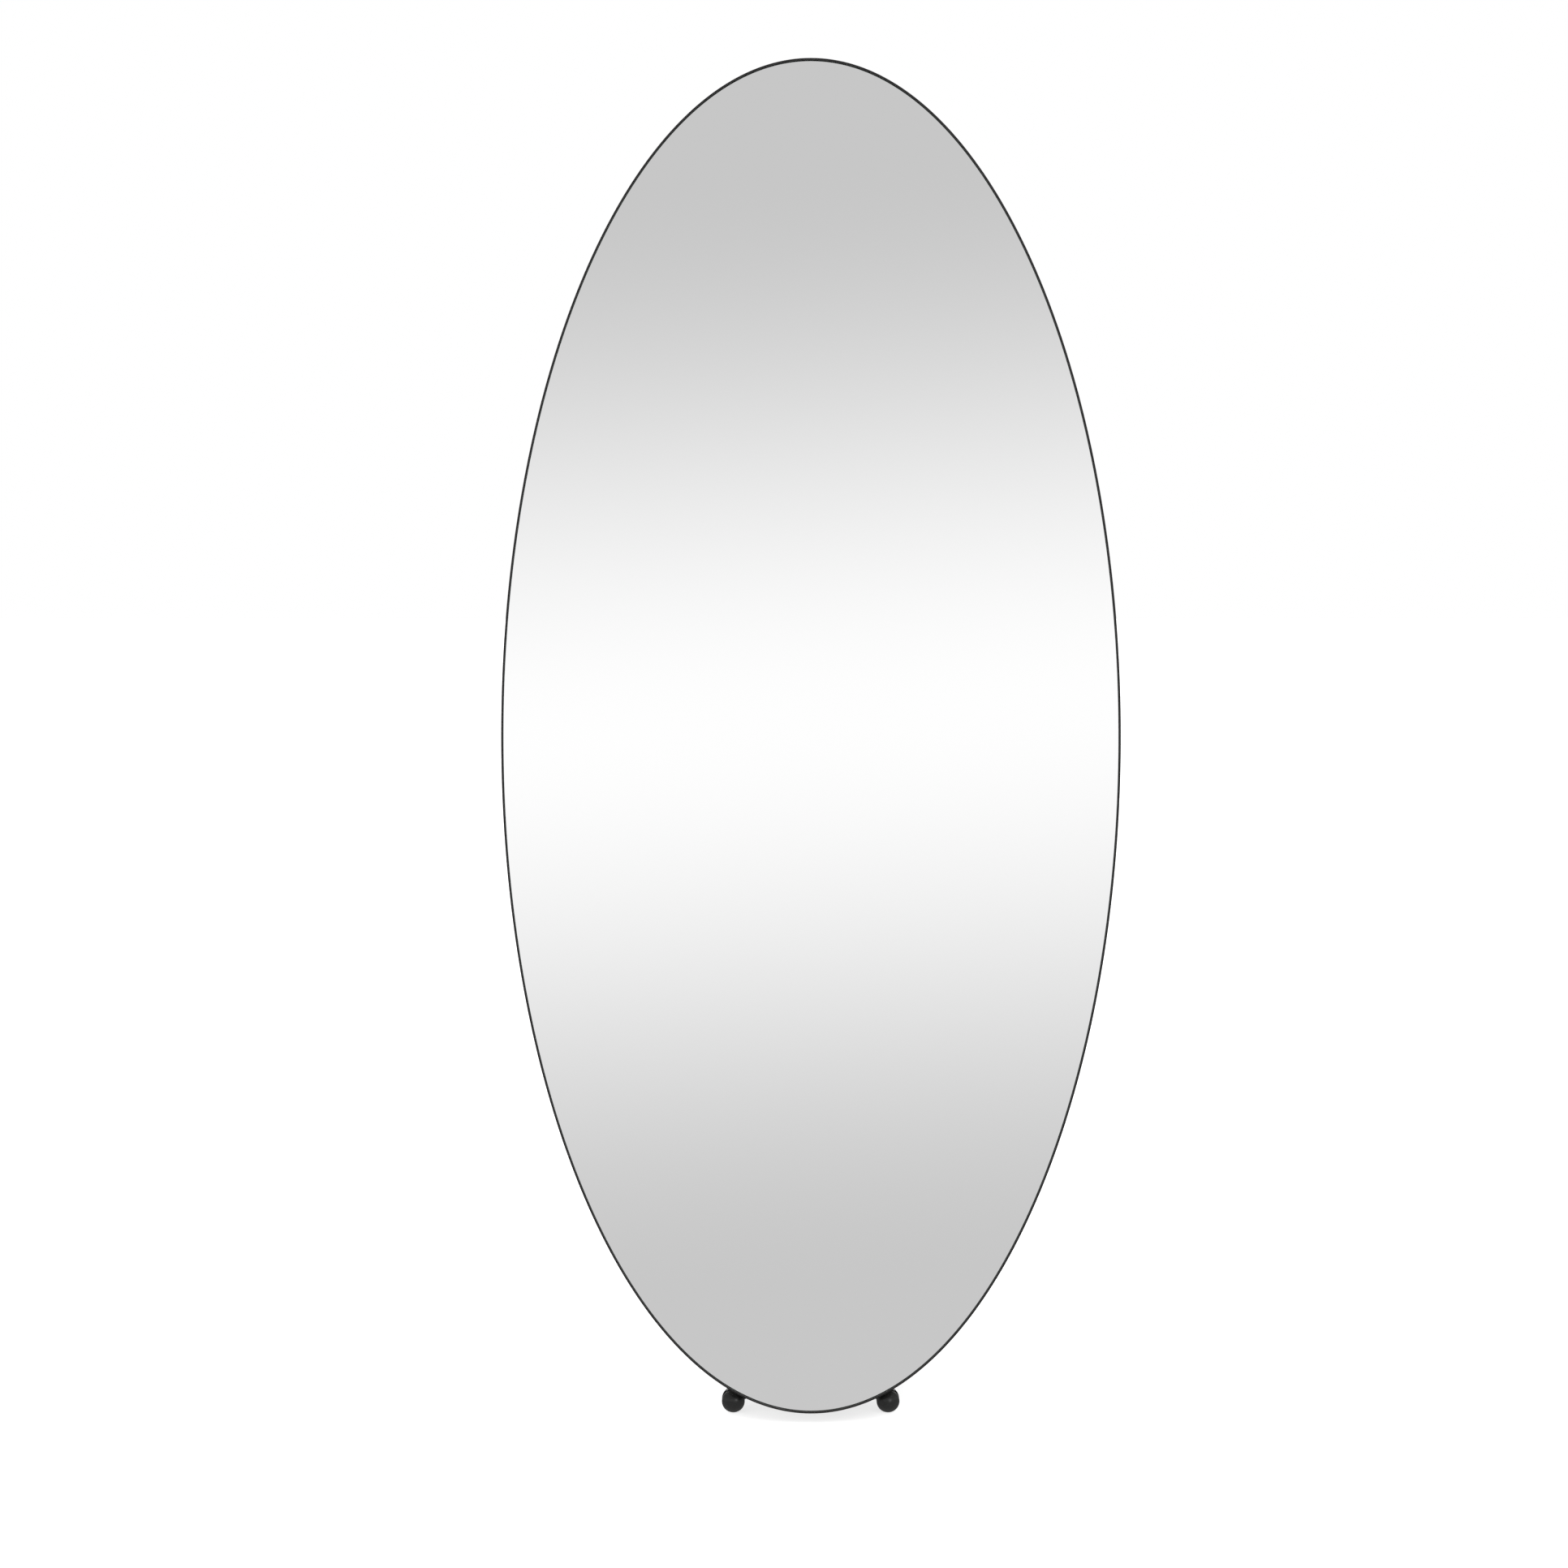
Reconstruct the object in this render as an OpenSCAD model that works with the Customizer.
// Rolling floor mirror: an oval glass in a thin metal rim, carried by a leaning spine
// on a weighted base plate with four small ball-shaped casters.
// Millimetres. X to the right, Y to the back, Z up. The glass faces -Y.
// The origin is on the floor, under the middle of the footprint.

/* [Oval] */
// Overall width of the oval, across the rim
oval_w = 800; // [500:10:1000]
// Overall height of the oval, along its own leaning plane
oval_h = 1750; // [1300:5:2000]
// Angle by which the mirror leans back, in degrees
lean = 5; // [3:0.5:7]
// Height of the rim's lowest front edge over the floor
floor_gap = 15; // [10:1:20]
// Thickness of the rim's flat bar, seen from the front
rim_t = 2; // [1.5:0.5:6]
// How far the glass lies behind the rim's front edge
glass_inset = 4.5; // [1:0.5:8]
// Thickness of the mirror glass
glass_t = 4; // [3:0.5:6]
// Thickness of the foam tape between glass and panel
tape_t = 1; // [0.5:0.5:3]
// Thickness of the back panel
panel_t = 12; // [10:1:20]
// Gap all round between the rim's inside and the glass and panel
edge_gap = 0.3; // [0.2:0.1:2]

/* [Panel tape] */
// Width of one strip of foam tape
tape_w = 25; // [10:1:50]
// Distance from one strip to the next
tape_pitch = 150; // [100:5:160]
// Shortest distance from the tape's ends to the edge of the glass
tape_margin = 40; // [20:5:80]

/* [Rim lugs] */
// Number of lugs welded inside the rim
lug_count = 8; // [6:1:12]
// Width of a lug along the rim
lug_w = 30; // [20:1:40]
// How far a lug reaches in from the rim
lug_reach = 22; // [18:1:35]
// Thickness of a lug
lug_t = 2.5; // [1.5:0.5:4]
// How far the rim's back edge stands behind the lugs
lug_cover = 2; // [1:0.5:4]
// Diameter of a lug screw's shank
lug_screw_d = 3.5; // [3:0.5:5]
// How deep a lug screw goes into the panel
lug_screw_bite = 8; // [6:0.5:9]
// Diameter of a lug screw's head
lug_head_d = 8; // [7:0.5:10]
// Height of a lug screw's head
lug_head_h = 1.8; // [1.2:0.2:3]
// Length of each arm of the cross slot in a lug screw's head
lug_slot_l = 4; // [3:0.5:5]
// Width of the cross slot
lug_slot_w = 0.8; // [0.6:0.1:1.2]
// Depth of the cross slot
lug_slot_depth = 0.9; // [0.5:0.1:1]

/* [Cross brackets] */
// Height of a bracket, along the mirror
bracket_h = 40; // [30:1:60]
// Length of a bracket, across the mirror
bracket_l = 350; // [200:5:440]
// Radius of a bracket's corners
bracket_r = 12; // [6:1:14]
// Distance from a bracket's end to its outer screw
bracket_end = 20; // [15:1:30]
// Distance between the two screws at each end of a bracket
bracket_pitch = 80; // [50:5:100]
// Height of the upper bracket above the middle of the oval
upper_bracket_z = 340; // [150:5:360]
// Height of the middle bracket below the middle of the oval
middle_bracket_drop = 70; // [0:5:200]
// Height of the lower bracket below the middle of the oval
lower_bracket_drop = 480; // [300:5:560]
// Thread diameter of a bracket screw
bracket_screw_d = 6; // [5:0.5:8]
// Diameter of a bracket screw's head
bracket_head_d = 10.5; // [9:0.5:14]
// Height of a bracket screw's head
bracket_head_h = 3.3; // [2.5:0.1:5]
// Width across the flats of the key socket in a bracket screw
bracket_key = 4; // [3:0.5:5]
// Depth of the key socket in a bracket screw
bracket_key_depth = 2; // [1:0.1:2.3]
// How far a bracket screw ends short of its insert's inner end
bracket_screw_short = 1; // [0.5:0.5:3]
// Outer diameter of a bracket washer
bracket_washer_d = 14; // [12:0.5:18]
// Thickness of a bracket washer
bracket_washer_t = 1.2; // [0.8:0.1:2]
// Outer diameter of a threaded insert in the panel
insert_d = 9; // [8.5:0.5:12]
// Length of a threaded insert
insert_l = 10; // [7:0.5:10]

/* [Spine] */
// Width of the spine's tube, across the mirror
spine_w = 60; // [40:1:80]
// Depth of the spine's tube
spine_d = 30; // [20:1:50]
// Wall of the spine's tube
spine_wall = 2; // [1.5:0.5:4]
// Outer corner radius of the spine's tube
spine_r = 5; // [4.5:0.5:8]
// Height of the spine's top above the middle of the oval
spine_top = 400; // [380:5:500]
// Gap between the rim's back edge and the spine that passes behind it
spine_gap = 0.5; // [0.3:0.1:3]
// Thickness of the cap's plate on the spine's top
cap_t = 3; // [2:0.5:6]
// Depth of the cap's plug inside the tube
cap_plug = 14; // [8:1:25]
// Wall of the cap's plug
cap_wall = 2; // [1:0.5:3]

/* [Foot] */
// Width of the foot flange
flange_w = 150; // [120:1:180]
// Length of the foot flange, front to back
flange_l = 130; // [115:1:160]
// Thickness of the foot flange
flange_t = 8; // [6:1:12]
// Radius of the flange's two front corners
flange_front_r = 3; // [1:1:6]
// Radius of the flange's two rear corners
flange_rear_r = 12; // [4:1:14]
// Distance of the bolts from the flange's sides and back
bolt_edge = 16; // [13:1:20]
// Distance of the front bolts from the flange's front edge
bolt_front = 24; // [14:1:30]
// Thread diameter of a flange bolt
bolt_d = 8; // [6:1:10]
// Diameter of a flange bolt's head
bolt_head_d = 13; // [12:0.5:16]
// Height of a flange bolt's head
bolt_head_h = 8; // [5:0.5:10]
// Width across the flats of the key socket in a flange bolt
bolt_key = 6; // [4:0.5:7]
// Depth of the key socket in a flange bolt
bolt_key_depth = 4; // [2:0.5:4.5]
// How far a flange bolt ends short of the base plate's underside
bolt_short = 1; // [0.5:0.5:4]
// Outer diameter of a flange washer
bolt_washer_d = 17; // [16:0.5:22]
// Thickness of a flange washer
bolt_washer_t = 1.6; // [1:0.2:3]
// Thickness of a gusset plate
gusset_t = 6; // [4:1:10]
// Height of a gusset
gusset_h = 130; // [80:5:200]
// Length of a gusset along the flange
gusset_l = 62; // [40:1:70]
// Height of a gusset's blunt outer end, and width of its blunt top
gusset_nose = 10; // [5:1:20]
// Distance between the two gussets' middles
gusset_pitch = 40; // [30:1:52]

/* [Base plate] */
// How far the plate's front edge reaches out past each front kingpin
front_side = 16; // [16:1:30]
// How far the plate's back edge reaches out past each rear kingpin
rear_side = 40; // [24:1:60]
// Length of the base plate
base_l = 430; // [350:5:500]
// Thickness of the base plate
base_t = 10; // [8:1:16]
// Radius of the base plate's front corners
base_front_r = 34; // [20:1:40]
// Radius of the base plate's rear corners
base_rear_r = 40; // [20:1:50]

/* [Casters] */
// Distance between the two front kingpins
front_spacing = 186; // [180:1:200]
// Distance of the front kingpins behind the rim's front edge
front_setback = 60; // [58:1:80]
// Distance between the two rear kingpins
rear_spacing = 260; // [200:5:320]
// Distance of the rear kingpins from the base plate's back edge
rear_inset = 38; // [30:1:80]
// Height of the base plate's underside over the floor
caster_h = 38; // [37:1:50]
// Diameter of a wheel
wheel_d = 30; // [28:0.5:32]
// Width of the whole caster, from dome to dome
caster_w = 30; // [27:0.5:34]
// Distance of the wheels' axle from the kingpin
trail = 8; // [5:0.5:8]
// Thickness of the hood's core between the wheels
core_t = 9; // [8.5:0.5:11]
// Radius of the hood's core
core_r = 12; // [8:0.5:12.5]
// Width of the wheel's tread
tread_w = 1.6; // [1:0.1:5]
// Radius of the rounding from the tread into the wheel's dome
shoulder_r = 2.5; // [1:0.1:4]
// How far inside the tread a fine groove runs round the wheel's dome
groove_in = 2.5; // [2:0.1:5]
// Width of the groove round the wheel's dome
groove_w = 0.5; // [0.3:0.1:1]
// Depth of the groove round the wheel's dome
groove_d = 0.5; // [0.3:0.1:1]
// Wall of a wheel behind its dome and tread
wheel_wall = 1.8; // [1.2:0.1:2.4]
// Diameter of the wheel's hub
hub_d = 8.4; // [7.5:0.1:10]
// Number of ribs inside a wheel
wheel_ribs = 6; // [3:1:10]
// Thickness of a rib inside a wheel
rib_t = 1.2; // [0.8:0.1:2]
// How far the ribs stand back from the wheel's open face
rib_back = 1; // [0.5:0.5:2]
// Diameter of the axle
axle_d = 4; // [3:0.5:4.5]
// How far the axle goes into each wheel's hub
axle_grip = 6; // [4:0.5:7]
// Thickness of the hood over the treads
hood_t = 1.2; // [1:0.1:2]
// Gap between a tread and the hood
hood_gap = 0.5; // [0.4:0.1:1]
// Angle above the axle at which the hood ends on the outer side, in degrees
hood_open_outer = 57; // [40:1:60]
// Thickness of the hood at its outer lip, up to which it thins from the neck
hood_lip = 0.6; // [0.5:0.1:1]
// Angle by which the web under the hood ends short of each of the hood's ends, in degrees
web_back = 3; // [2:1:6]
// Height above the axle at which the hood's sides begin to round in
hood_side_h = 7; // [6:0.5:11]
// Diameter of the neck at the hood's top
neck_d = 11; // [10:0.5:13]
// Height of the neck's straight top
neck_h = 1.5; // [1:0.5:3]
// Diameter of the kingpin's journal
kingpin_d = 5; // [4:0.5:5.5]
// Depth of the kingpin's socket in the hood
socket_depth = 13.5; // [12:0.5:14]
// Thickness of the kingpin's hex flange
hex_t = 3; // [2:0.5:4]
// Width of the kingpin's hex flange across its flats
hex_flats = 12; // [12:0.5:15]
// Thread diameter of the kingpin's upper end
kingpin_thread_d = 8; // [7:0.5:10]
// How far the kingpin's thread ends short of the base plate's top
kingpin_short = 0.5; // [0.2:0.1:3]
// Height of the snap ring on the kingpin
ring_h = 0.9; // [0.6:0.1:1.2]
// Height of the snap ring over the socket's floor
ring_lift = 3; // [2:0.5:5]
// Depth of the groove in the kingpin that holds the snap ring
ring_grip = 0.5; // [0.3:0.1:0.8]
// How far the snap ring stands out of the kingpin
ring_out = 0.8; // [0.5:0.1:1]

/* [Clearances] */
// Clearance of a turning fit: axle in hub, kingpin in socket and on the socket's floor
running_fit = 0.05; // [0.02:0.01:0.1]
// Radial clearance of a thread or a shank in its hole
thread_fit = 0.05; // [0.02:0.01:0.2]
// Radial clearance of a bolt that passes freely through a plate
bolt_play = 0.3; // [0.2:0.1:0.6]
// Gap between faces that turn past each other
turn_gap = 0.3; // [0.2:0.05:0.5]
// Gap between the hood's core and each wheel
side_gap = 0.4; // [0.3:0.05:0.6]

/* [Hidden] */

$fn = 64;
OVAL_STEPS = 360;   // straight sides of the oval, spaced by equal turns of its edge
CORNER_STEPS = 10;  // straight sides of one rounded corner
ARC_STEPS = 12;     // straight sides of one arc in a moulded outline
SHOULDER_STEPS = 4; // straight sides of the rounding from a wheel's tread into its dome
BELT_STEPS = 3;     // straight sides of a wheel's dome from its edge to the groove
DOME_STEPS = 16;    // straight sides of a wheel's dome from the groove to its middle
EPS = 0.01;         // how far a cutting solid runs past the face that it cuts

CHARCOAL = [0.20, 0.19, 0.18];
STEEL = [0.62, 0.62, 0.63];
BRASS = [0.74, 0.60, 0.30];
PANEL_BLACK = [0.14, 0.13, 0.13];
NYLON_BLACK = [0.16, 0.16, 0.155];
SILVER = [0.86, 0.88, 0.89];

// Depths in the mirror's own leaning frame, from the rim's front edge to the back
glass_y = glass_inset;
tape_y = glass_y + glass_t;
panel_y = tape_y + tape_t;
panel_back = panel_y + panel_t;
rim_d = panel_back + lug_t + lug_cover;
spine_face = rim_d + spine_gap;
bracket_t = spine_face - panel_back;

// Heights over the floor
base_top = caster_h + base_t;
flange_top = base_top + flange_t;
oval_mid_z = floor_gap + oval_h / 2 * cos(lean);

// Distances behind the rim's lowest front edge
oval_mid_back = oval_h / 2 * sin(lean);
function back_of(depth, z) =
    oval_mid_back + depth * cos(lean) + (z - oval_mid_z + depth * sin(lean)) * tan(lean);
base_front_back = back_of(spine_face, flange_top);
footprint = base_front_back + base_l;

// Widths of the base plate along its front and back edges
base_front_w = front_spacing + 2 * front_side;
base_rear_w = rear_spacing + 2 * rear_side;

// Places along Y in the model's frame
rim_front_y = -footprint / 2;
base_front_y = rim_front_y + base_front_back;
base_rear_y = base_front_y + base_l;
front_corner_y = rim_front_y + front_setback;
rear_corner_y = base_rear_y - rear_inset;

// Caster corners: [x, y] of the kingpin
front_left = [-front_spacing / 2, front_corner_y];
front_right = [front_spacing / 2, front_corner_y];
rear_left = [-rear_spacing / 2, rear_corner_y];
rear_right = [rear_spacing / 2, rear_corner_y];
CORNERS = [front_left, front_right, rear_left, rear_right];

wheel_r = wheel_d / 2;
wheel_face = core_t / 2 + side_gap;
tread_end = wheel_face + tread_w;
hood_w = 2 * (tread_end + turn_gap);
hood_in_r = wheel_r + hood_gap;
hood_out_r = hood_in_r + hood_t;
hood_top = caster_h - hex_t - turn_gap;
socket_floor = hood_top - socket_depth;
ring_z = socket_floor + ring_lift;
hood_reach = trail + hood_out_r;

function unit(v) = v / norm(v);
function turn_from(a, b) = let (d = b - a) d > 180 ? d - 360 : d < -180 ? d + 360 : d;

// Points of an arc from angle a0 to angle a1
function arc(centre, r, a0, a1, steps = ARC_STEPS) =
    [for (i = [0:steps]) let (turn = a0 + (a1 - a0) * i / steps) centre + r * [cos(turn), sin(turn)]];

// An outline with each corner rounded by its own radius
function rounded(pts, radii, steps = CORNER_STEPS) = [
    for (i = [0:len(pts) - 1])
        let (
            n = len(pts),
            p = pts[i],
            u = unit(pts[(i + n - 1) % n] - p),
            v = unit(pts[(i + 1) % n] - p),
            half = acos(u * v) / 2,
            c = p + unit(u + v) * (radii[i] / sin(half)),
            s = p + u * (radii[i] / tan(half)) - c,
            e = p + v * (radii[i] / tan(half)) - c,
            a0 = atan2(s[1], s[0]),
            a1 = a0 + turn_from(a0, atan2(e[1], e[0]))
        )
        each arc(c, radii[i], a0, a1, steps)
];

function box_points(w, d) = [[-w / 2, -d / 2], [w / 2, -d / 2], [w / 2, d / 2], [-w / 2, d / 2]];

// A rectangle with its four corners rounded alike
module rounded_box(w, d, r) {
    polygon(rounded(box_points(w, d), [r, r, r, r]));
}

// The oval's outline, moved inward by inset along its own normal
function oval_point(inset, turn) =
    let (
        a = oval_w / 2,
        b = oval_h / 2,
        t = atan2(b * sin(turn), a * cos(turn)),
        p = [a * cos(t), b * sin(t)]
    )
    p - inset * [cos(turn), sin(turn)];
function oval_outline(inset) =
    [for (i = [0:OVAL_STEPS - 1]) oval_point(inset, 360 * i / OVAL_STEPS)];

// Half of the oval's height inside inset, at x from its middle
function oval_half_height(inset, x) =
    (oval_h / 2 - inset) * sqrt(1 - pow(x / (oval_w / 2 - inset), 2));

// The mirror's own frame: x across, y to the back, z up along the leaning glass
module leaning() {
    translate([0, rim_front_y + oval_mid_back, oval_mid_z])
        rotate([-lean, 0, 0])
            children();
}

// A flat outline (x, z) made solid from depth y over thickness t
module slab(y, t) {
    translate([0, y + t, 0])
        rotate([90, 0, 0])
            linear_extrude(height = t)
                children();
}

// A round bar along y, from depth y over length l
module peg(x, z, y, l, r, sides = $fn) {
    translate([x, y + l, z])
        rotate([90, 0, 0])
            cylinder(h = l, r = r, $fn = sides);
}

module oval(inset) {
    polygon(oval_outline(inset));
}

inner_inset = rim_t + edge_gap;

module mirror_glass() {
    color(SILVER)
        leaning()
            slab(glass_y, glass_t)
                oval(inner_inset);
}

module frame_rim() {
    color(CHARCOAL)
        leaning()
            slab(0, rim_d)
                difference() {
                    oval(0);
                    oval(rim_t);
                }
}

tape_reach = oval_w / 2 - inner_inset - tape_margin - tape_w;
tape_count = floor(tape_reach / tape_pitch);

module mirror_tape() {
    color(PANEL_BLACK)
        leaning()
            for (i = [-tape_count:tape_count]) {
                half = oval_half_height(inner_inset + tape_margin, abs(i) * tape_pitch + tape_w / 2);
                slab(tape_y, tape_t)
                    translate([i * tape_pitch - tape_w / 2, -half])
                        square([tape_w, 2 * half]);
            }
}

// Angle on the rim at which lug i sits, and the place of its screw
function lug_turn(i) = 360 * (i + 0.5) / lug_count;
function lug_screw_at(i) = oval_point(rim_t + lug_reach / 2, lug_turn(i));

module back_panel() {
    color(PANEL_BLACK)
        leaning()
            difference() {
                slab(panel_y, panel_t)
                    oval(inner_inset);
                for (i = [0:lug_count - 1]) {
                    at = lug_screw_at(i);
                    peg(at[0], at[1], panel_back - lug_screw_bite, lug_screw_bite + EPS,
                        lug_screw_d / 2 + thread_fit);
                }
                for (at = bracket_screw_places)
                    peg(at[0], at[1], panel_back - insert_l, insert_l + EPS, insert_d / 2 + thread_fit);
            }
}

module frame_lugs() {
    color(CHARCOAL)
        leaning()
            for (i = [0:lug_count - 1]) {
                at = lug_screw_at(i);
                difference() {
                    slab(panel_back, lug_t)
                        intersection() {
                            oval(rim_t);
                            translate(oval_point(rim_t, lug_turn(i)))
                                rotate(lug_turn(i))
                                    translate([-lug_reach, -lug_w / 2])
                                        square([lug_reach + lug_w, lug_w]);
                        }
                    peg(at[0], at[1], panel_back - EPS, lug_t + 2 * EPS, lug_screw_d / 2 + bolt_play);
                }
            }
}

module lug_screws() {
    color(STEEL)
        leaning()
            for (i = [0:lug_count - 1]) {
                at = lug_screw_at(i);
                difference() {
                    union() {
                        peg(at[0], at[1], panel_back - lug_screw_bite, lug_screw_bite + lug_t + EPS,
                            lug_screw_d / 2);
                        peg(at[0], at[1], panel_back + lug_t, lug_head_h, lug_head_d / 2);
                    }
                    for (turn = [0, 90])
                        translate([at[0], panel_back + lug_t + lug_head_h, at[1]])
                            rotate([0, turn + lug_turn(i), 0])
                                cube([lug_slot_l, 2 * lug_slot_depth, lug_slot_w], center = true);
                }
            }
}

BRACKET_HEIGHTS = [upper_bracket_z, -middle_bracket_drop, -lower_bracket_drop];
BRACKET_SCREW_X = [
    for (side = [-1, 1])
        for (x = [bracket_l / 2 - bracket_end, bracket_l / 2 - bracket_end - bracket_pitch])
            side * x
];
bracket_screw_places = [for (z = BRACKET_HEIGHTS) for (x = BRACKET_SCREW_X) [x, z]];

module panel_inserts() {
    color(BRASS)
        leaning()
            for (at = bracket_screw_places)
                difference() {
                    peg(at[0], at[1], panel_back - insert_l, insert_l, insert_d / 2);
                    peg(at[0], at[1], panel_back - insert_l - EPS, insert_l + 2 * EPS,
                        bracket_screw_d / 2 + thread_fit);
                }
}

// A flat steel strap with round ends, welded across the spine
module cross_bracket(z) {
    color(CHARCOAL)
        leaning()
            difference() {
                slab(panel_back, bracket_t)
                    translate([0, z])
                        rounded_box(bracket_l, bracket_h, bracket_r);
                for (x = BRACKET_SCREW_X)
                    peg(x, z, panel_back - EPS, bracket_t + 2 * EPS, bracket_screw_d / 2 + bolt_play);
            }
}

module bracket_washers() {
    color(STEEL)
        leaning()
            for (at = bracket_screw_places)
                difference() {
                    peg(at[0], at[1], spine_face, bracket_washer_t, bracket_washer_d / 2);
                    peg(at[0], at[1], spine_face - EPS, bracket_washer_t + 2 * EPS,
                        bracket_screw_d / 2 + bolt_play);
                }
}

bracket_screw_y = panel_back - insert_l + bracket_screw_short;
bracket_head_y = spine_face + bracket_washer_t;

module bracket_screws() {
    color(STEEL)
        leaning()
            for (at = bracket_screw_places)
                difference() {
                    union() {
                        peg(at[0], at[1], bracket_screw_y, bracket_head_y - bracket_screw_y + EPS,
                            bracket_screw_d / 2);
                        peg(at[0], at[1], bracket_head_y, bracket_head_h, bracket_head_d / 2);
                    }
                    peg(at[0], at[1], bracket_head_y + bracket_head_h - bracket_key_depth,
                        bracket_key_depth + EPS, bracket_key / sqrt(3), 6);
                }
}

module spine_outline(inset) {
    rounded_box(spine_w - 2 * inset, spine_d - 2 * inset, spine_r - inset);
}

spine_foot = oval_h / 2;   // the uncut tube starts this far below the middle of the oval

module spine_tube() {
    color(CHARCOAL)
        difference() {
            leaning()
                translate([0, spine_face + spine_d / 2, -spine_foot])
                    linear_extrude(height = spine_foot + spine_top)
                        difference() {
                            spine_outline(0);
                            spine_outline(spine_wall);
                        }
            translate([-spine_w, rim_front_y - spine_foot, flange_top - spine_foot])
                cube([2 * spine_w, 2 * spine_foot, spine_foot]);
        }
}

module spine_cap() {
    color(NYLON_BLACK)
        leaning()
            translate([0, spine_face + spine_d / 2, spine_top]) {
                linear_extrude(height = cap_t)
                    spine_outline(0);
                translate([0, 0, -cap_plug])
                    linear_extrude(height = cap_plug + EPS)
                        difference() {
                            spine_outline(spine_wall + turn_gap);
                            spine_outline(spine_wall + turn_gap + cap_wall);
                        }
            }
}

// Places of the four flange bolts
FLANGE_BOLTS = [
    for (x = [-1, 1] * (flange_w / 2 - bolt_edge))
        for (y = [base_front_y + bolt_front, base_front_y + flange_l - bolt_edge])
            [x, y]
];

module foot_flange() {
    color(CHARCOAL)
        difference() {
            translate([0, base_front_y + flange_l / 2, base_top])
                linear_extrude(height = flange_t)
                    polygon(rounded(
                        box_points(flange_w, flange_l),
                        [flange_front_r, flange_front_r, flange_rear_r, flange_rear_r]));
            for (at = FLANGE_BOLTS)
                translate([at[0], at[1], base_top - EPS])
                    cylinder(h = flange_t + 2 * EPS, r = bolt_d / 2 + bolt_play);
        }
}

// A triangular plate behind the spine, its front edge along the leaning tube
module gusset(x) {
    depth = spine_face + spine_d;
    foot_y = rim_front_y + back_of(depth, flange_top);
    top_y = rim_front_y + back_of(depth, flange_top + gusset_h);
    color(CHARCOAL)
        translate([x + gusset_t / 2, 0, 0])
            rotate([0, -90, 0])
                linear_extrude(height = gusset_t)
                    polygon([
                        [flange_top, foot_y],
                        [flange_top, foot_y + gusset_l],
                        [flange_top + gusset_nose, foot_y + gusset_l],
                        [flange_top + gusset_h, top_y + gusset_nose],
                        [flange_top + gusset_h, top_y]
                    ]);
}

module gusset_left() {
    gusset(-gusset_pitch / 2);
}

module gusset_right() {
    gusset(gusset_pitch / 2);
}

module flange_washers() {
    color(STEEL)
        for (at = FLANGE_BOLTS)
            translate([at[0], at[1], flange_top])
                difference() {
                    cylinder(h = bolt_washer_t, r = bolt_washer_d / 2);
                    translate([0, 0, -EPS])
                        cylinder(h = bolt_washer_t + 2 * EPS, r = bolt_d / 2 + bolt_play);
                }
}

bolt_head_z = flange_top + bolt_washer_t;
bolt_end_z = caster_h + bolt_short;

module flange_bolts() {
    color(STEEL)
        for (at = FLANGE_BOLTS)
            translate([at[0], at[1], 0])
                difference() {
                    union() {
                        translate([0, 0, bolt_end_z])
                            cylinder(h = bolt_head_z - bolt_end_z + EPS, r = bolt_d / 2);
                        translate([0, 0, bolt_head_z])
                            cylinder(h = bolt_head_h, r = bolt_head_d / 2);
                    }
                    translate([0, 0, bolt_head_z + bolt_head_h - bolt_key_depth])
                        cylinder(h = bolt_key_depth + EPS, r = bolt_key / sqrt(3), $fn = 6);
                }
}

module base_plate() {
    color(CHARCOAL)
        difference() {
            translate([0, 0, caster_h])
                linear_extrude(height = base_t)
                    polygon(rounded(
                        [
                            [-base_front_w / 2, base_front_y],
                            [base_front_w / 2, base_front_y],
                            [base_rear_w / 2, base_rear_y],
                            [-base_rear_w / 2, base_rear_y]
                        ],
                        [base_front_r, base_front_r, base_rear_r, base_rear_r]));
            for (at = FLANGE_BOLTS)
                translate([at[0], at[1], caster_h - EPS])
                    cylinder(h = base_t + 2 * EPS, r = bolt_d / 2 + thread_fit);
            for (at = CORNERS)
                translate([at[0], at[1], caster_h - EPS])
                    cylinder(h = base_t + 2 * EPS, r = kingpin_thread_d / 2 + thread_fit);
        }
}

// A caster's own frame: kingpin on z, wheels to the outer side along x, axle along y
module at_corner(corner) {
    translate([corner[0], corner[1], 0])
        mirror([corner[0] < 0 ? 1 : 0, 0, 0])
            children();
}

module at_axle() {
    translate([trail, 0, wheel_r])
        children();
}

// A caster's outline (x, z) made solid between y = -w/2 and y = w/2
module across(w) {
    translate([0, w / 2, 0])
        rotate([90, 0, 0])
            linear_extrude(height = w)
                children();
}

// The kingpin's round end bears on the floor of the hood's socket and carries the load there
kingpin_end_z = socket_floor + running_fit;

module kingpin(corner) {
    groove_r = kingpin_d / 2 - ring_grip;
    color(STEEL)
        at_corner(corner)
            difference() {
                union() {
                    translate([0, 0, caster_h - EPS])
                        cylinder(h = base_t - kingpin_short + EPS, r = kingpin_thread_d / 2);
                    translate([0, 0, caster_h - hex_t])
                        cylinder(h = hex_t, r = hex_flats / sqrt(3), $fn = 6);
                    translate([0, 0, kingpin_end_z])
                        cylinder(h = caster_h - hex_t - kingpin_end_z + EPS, r = kingpin_d / 2);
                }
                translate([0, 0, ring_z])
                    difference() {
                        cylinder(h = ring_h, r = kingpin_d / 2 + EPS);
                        cylinder(h = ring_h, r = groove_r);
                    }
            }
}

module kingpin_rings() {
    color(STEEL)
        for (corner = CORNERS)
            at_corner(corner)
                translate([0, 0, ring_z])
                    difference() {
                        cylinder(h = ring_h, r = kingpin_d / 2 + ring_out);
                        translate([0, 0, -EPS])
                            cylinder(h = ring_h + 2 * EPS, r = kingpin_d / 2 - ring_grip);
                    }
}

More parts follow.
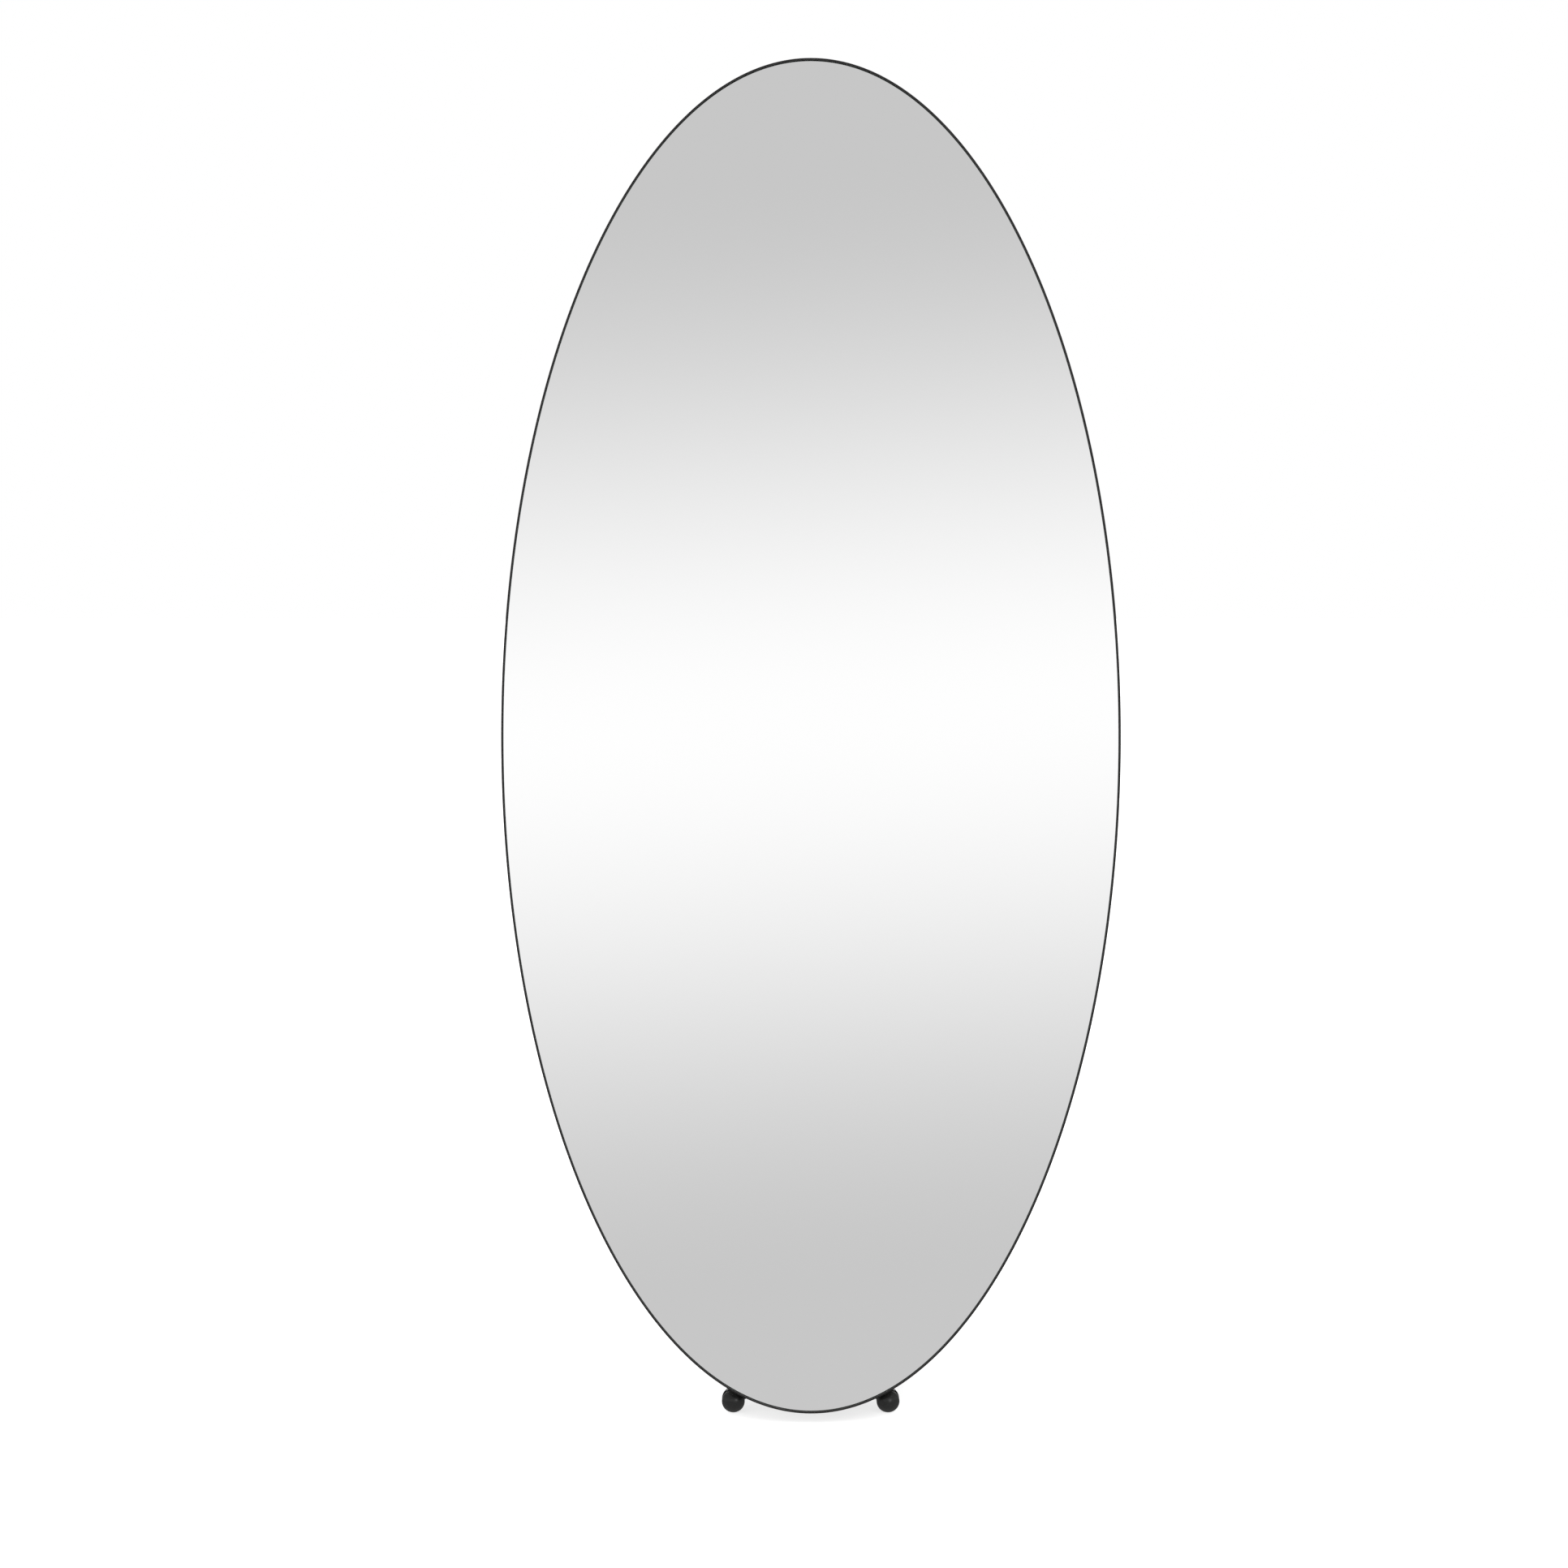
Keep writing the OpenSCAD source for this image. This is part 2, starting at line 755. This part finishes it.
// The two tangents from a point outside a circle: the angle at which each touches it
function tangent_angle(centre, r, p, side) =
    let (d = p - centre)
    atan2(d[1], d[0]) + side * acos(r / norm(d));

// Points of an arc whose radius grows evenly from r0 to r1
function tapered_arc(centre, r0, r1, a0, a1) =
    [for (i = [0:ARC_STEPS])
        let (f = i / ARC_STEPS, turn = a0 + (a1 - a0) * f)
        centre + (r0 + (r1 - r0) * f) * [cos(turn), sin(turn)]];

// Where the hood's two straight sides touch the arc over the treads, as angles round the axle
function hood_turns() =
    let (c = [trail, wheel_r])
    [
        tangent_angle(c, hood_out_r, [neck_d / 2, hood_top], -1),
        tangent_angle(c, hood_out_r, [-neck_d / 2, hood_top], 1)
    ];

// The hood's side outline: a lip that thickens over the treads and runs up into the neck on the
// outer side, and a straight wall down from the neck on the kingpin's side
function hood_outline() =
    let (
        c = [trail, wheel_r],
        turns = hood_turns()
    )
    concat(
        tapered_arc(c, hood_in_r + hood_lip, hood_out_r, hood_open_outer, turns[0]),
        [[neck_d / 2, hood_top], [-neck_d / 2, hood_top]],
        [c + hood_out_r * [cos(turns[1]), sin(turns[1])]],
        arc(c, hood_in_r - hood_gap / 2, turns[1], hood_open_outer, 2 * ARC_STEPS)
    );

// The hood's end outline (y, z): straight sides with round shoulders that run in to the neck
function hood_end_outline() =
    let (
        side = hood_w / 2,
        neck = neck_d / 2,
        side_z = wheel_r + hood_side_h,
        neck_z = hood_top - neck_h,
        shoulder = [for (i = [0:ARC_STEPS])
            [neck + (side - neck) * cos(90 * i / ARC_STEPS),
             side_z + (neck_z - side_z) * sin(90 * i / ARC_STEPS)]]
    )
    concat(
        [[-side, 0], [side, 0]],
        shoulder,
        [[neck, hood_top + EPS], [-neck, hood_top + EPS]],
        [for (i = [ARC_STEPS:-1:0]) [-shoulder[i][0], shoulder[i][1]]]
    );

// The web that joins the round core to the hood: a sector just short of the hood's two ends
function web_outline() =
    let (c = [trail, wheel_r])
    concat([c], arc(c, hood_in_r, hood_open_outer + web_back, hood_turns()[1] - web_back, 2 * ARC_STEPS));

module hood(corner) {
    color(NYLON_BLACK)
        at_corner(corner)
            difference() {
                union() {
                    across(core_t)
                        union() {
                            translate([trail, wheel_r])
                                circle(r = core_r);
                            polygon(web_outline());
                            polygon(hood_outline());
                        }
                    intersection() {
                        across(hood_w)
                            polygon(hood_outline());
                        translate([-hood_reach, 0, 0])
                            rotate([90, 0, 90])
                                linear_extrude(height = 2 * hood_reach)
                                    polygon(hood_end_outline());
                    }
                }
                // wells in which the wheels turn
                for (side = [-1, 1])
                    at_axle()
                        translate([0, side * (core_t / 2 + hood_w / 2), 0])
                            rotate([90, 0, 0])
                                cylinder(h = hood_w, r = hood_in_r, center = true);
                // axle hole
                at_axle()
                    rotate([90, 0, 0])
                        cylinder(h = core_t + 2 * EPS, r = axle_d / 2, center = true);
                // kingpin socket, and its wider chamber for the snap ring
                translate([0, 0, socket_floor])
                    cylinder(h = socket_depth + EPS, r = kingpin_d / 2 + running_fit);
                translate([0, 0, ring_z - turn_gap])
                    cylinder(h = ring_h + 2 * turn_gap, r = kingpin_d / 2 + ring_out + turn_gap);
            }
}

module axle(corner) {
    color(STEEL)
        at_corner(corner)
            at_axle()
                rotate([90, 0, 0])
                    cylinder(h = 2 * (wheel_face + axle_grip), r = axle_d / 2, center = true);
}

// A wheel's half section as [radius, distance from the caster's middle]. The dome is an arc about a
// point on the axle, and the rounding from the tread runs into it without a corner.
shoulder_centre = [wheel_r - shoulder_r, tread_end];
dome_rise = caster_w / 2 - tread_end;
dome_r = (pow(shoulder_centre[0], 2) + pow(dome_rise, 2) - pow(shoulder_r, 2))
    / (2 * (dome_rise - shoulder_r));
dome_centre = [0, caster_w / 2 - dome_r];
dome_start = atan2(tread_end - dome_centre[1], shoulder_centre[0]);
groove_outer = wheel_r - groove_in;
groove_inner = groove_outer - groove_w;
function dome_turn(r) = acos(r / dome_r);
function groove_floor(r) = [r, dome_centre[1] + sqrt(pow(dome_r, 2) - pow(r, 2)) - groove_d];
function all_but_first(points) = [for (i = [1:len(points) - 1]) points[i]];

function wheel_outer() = concat(
    [[wheel_r, wheel_face]],
    arc(shoulder_centre, shoulder_r, 0, dome_start, SHOULDER_STEPS),
    all_but_first(arc(dome_centre, dome_r, dome_start, dome_turn(groove_outer), BELT_STEPS)),
    [groove_floor(groove_outer), groove_floor(groove_inner)],
    arc(dome_centre, dome_r, dome_turn(groove_inner), 90, DOME_STEPS)
);

inner_dome_r = dome_r - wheel_wall;
recess_r = wheel_r - wheel_wall;
function inner_dome_u(r) = dome_centre[1] + sqrt(pow(inner_dome_r, 2) - pow(r, 2));

// The hollow between hub and tread, open towards the hood's core
function wheel_recess() = concat(
    [[hub_d / 2, wheel_face - EPS], [recess_r, wheel_face - EPS]],
    [for (i = [0:ARC_STEPS])
        let (r = recess_r + (hub_d / 2 - recess_r) * i / ARC_STEPS)
        [r, inner_dome_u(r)]]
);

module turned(points) {
    rotate_extrude()
        polygon(points);
}

// Wheel on the side facing +y or -y: side is 1 or -1
module wheel(corner, side) {
    color(NYLON_BLACK)
        at_corner(corner)
            at_axle()
                rotate([-90 * side, 0, 0])
                    difference() {
                        turned(concat([[0, wheel_face]], wheel_outer()));
                        difference() {
                            turned(wheel_recess());
                            for (i = [0:wheel_ribs - 1])
                                rotate(360 * i / wheel_ribs)
                                    translate([0, -rib_t / 2, wheel_face + rib_back])
                                        cube([wheel_r, rib_t, caster_w]);
                        }
                        translate([0, 0, wheel_face - EPS])
                            cylinder(h = axle_grip + EPS + turn_gap, r = axle_d / 2 + running_fit);
                    }
}

mirror_glass();
frame_rim();
back_panel();
mirror_tape();
frame_lugs();
lug_screws();
panel_inserts();
cross_bracket(upper_bracket_z);  // upper_bracket
cross_bracket(-middle_bracket_drop);  // middle_bracket
cross_bracket(-lower_bracket_drop);  // lower_bracket
bracket_screws();
bracket_washers();
spine_tube();
spine_cap();
foot_flange();
gusset_left();
gusset_right();
flange_bolts();
flange_washers();
base_plate();
kingpin_rings();
kingpin(front_left);  // front_left_kingpin
hood(front_left);  // front_left_hood
axle(front_left);  // front_left_axle
wheel(front_left, -1);  // front_left_fore_wheel
wheel(front_left, 1);  // front_left_aft_wheel
kingpin(front_right);  // front_right_kingpin
hood(front_right);  // front_right_hood
axle(front_right);  // front_right_axle
wheel(front_right, -1);  // front_right_fore_wheel
wheel(front_right, 1);  // front_right_aft_wheel
kingpin(rear_left);  // rear_left_kingpin
hood(rear_left);  // rear_left_hood
axle(rear_left);  // rear_left_axle
wheel(rear_left, -1);  // rear_left_fore_wheel
wheel(rear_left, 1);  // rear_left_aft_wheel
kingpin(rear_right);  // rear_right_kingpin
hood(rear_right);  // rear_right_hood
axle(rear_right);  // rear_right_axle
wheel(rear_right, -1);  // rear_right_fore_wheel
wheel(rear_right, 1);  // rear_right_aft_wheel
